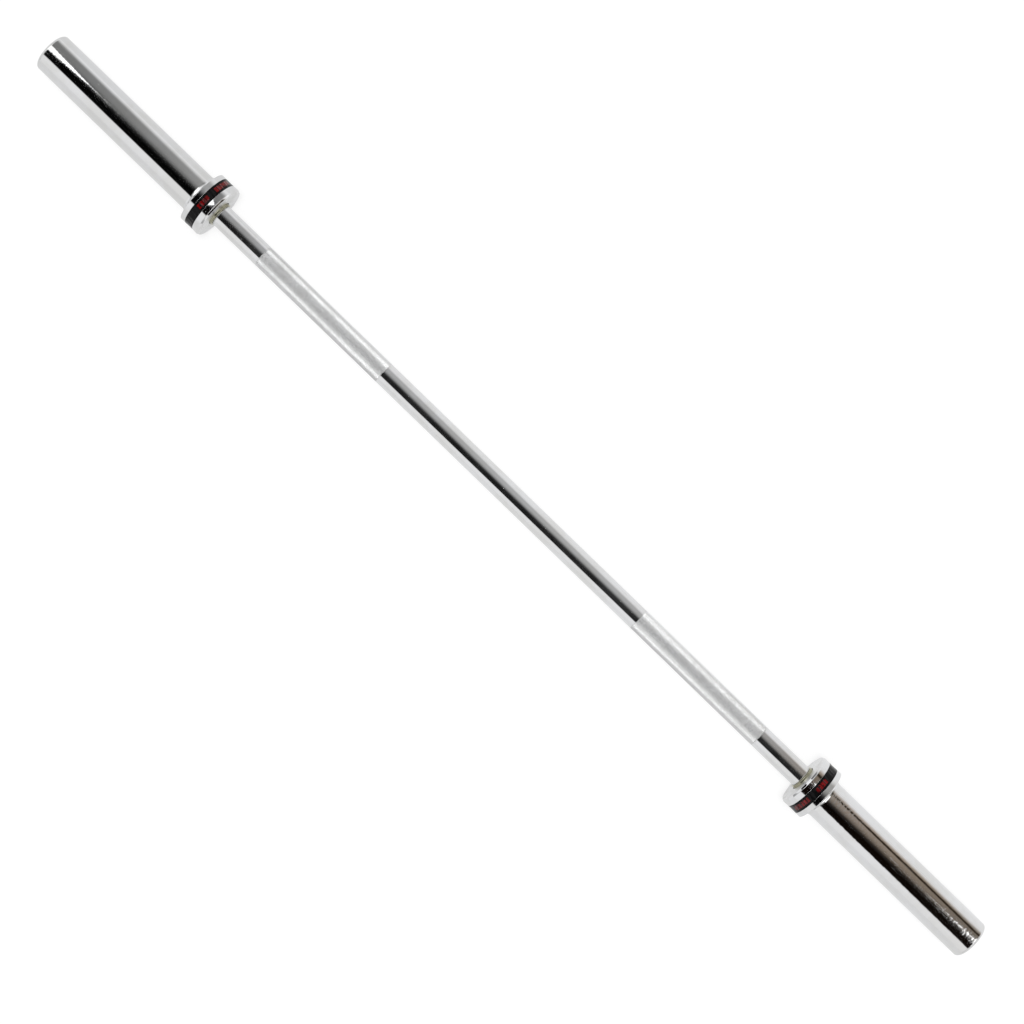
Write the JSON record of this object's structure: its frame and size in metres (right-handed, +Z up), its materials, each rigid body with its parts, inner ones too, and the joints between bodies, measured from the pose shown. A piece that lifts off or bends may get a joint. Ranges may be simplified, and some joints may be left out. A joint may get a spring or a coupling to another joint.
{
  "type": "barbell",
  "caption": "Straight barbell: knurled shaft with a plain middle, wide sleeves that turn freely on its ends, and round collars with a dark band in a groove.",
  "frame": {"origin": "on the bar's axis, halfway between its ends", "axes": "+X along the bar towards the right sleeve, +Z up"},
  "size_m": [1.5, 0.0708, 0.0708],
  "materials": {
    "shaft_chrome": "polished chrome plate, cut diamond knurl on both grips",
    "sleeve_chrome": "polished chrome plate with faint turning and handling marks",
    "collar_chrome": "polished chrome rim, satin turned inner face",
    "cap_chrome": "satin turned chrome",
    "collar_band": "semi-gloss black with plain dark red bars",
    "bronze": "turned bronze, slightly oiled",
    "plain_steel": "ground steel",
    "spring_steel": "dark phosphated spring steel"
  },
  "bodies": {
    "shaft": {"shaft": "shaft_chrome", "left_inner_washer": "bronze", "left_outer_washer": "plain_steel", "left_shaft_ring": "spring_steel", "right_inner_washer": "bronze", "right_outer_washer": "plain_steel", "right_shaft_ring": "spring_steel"},
    "left_sleeve": {"left_sleeve": "sleeve_chrome", "left_collar": "collar_chrome", "left_collar_band": "collar_band", "left_inner_bushing": "bronze", "left_outer_bushing": "bronze", "left_cap_ring": "spring_steel", "left_end_cap": "cap_chrome"},
    "right_sleeve": {"right_sleeve": "sleeve_chrome", "right_collar": "collar_chrome", "right_collar_band": "collar_band", "right_inner_bushing": "bronze", "right_outer_bushing": "bronze", "right_cap_ring": "spring_steel", "right_end_cap": "cap_chrome"}
  },
  "joints": [
    {"name": "left_sleeve_spin", "type": "hinge", "parent": "shaft", "child": "left_sleeve", "pos_m": [-0.476, 0, 0], "axis": [1, 0, 0], "continuous": true},
    {"name": "right_sleeve_spin", "type": "hinge", "parent": "shaft", "child": "right_sleeve", "pos_m": [0.476, 0, 0], "axis": [1, 0, 0], "continuous": true}
  ]
}
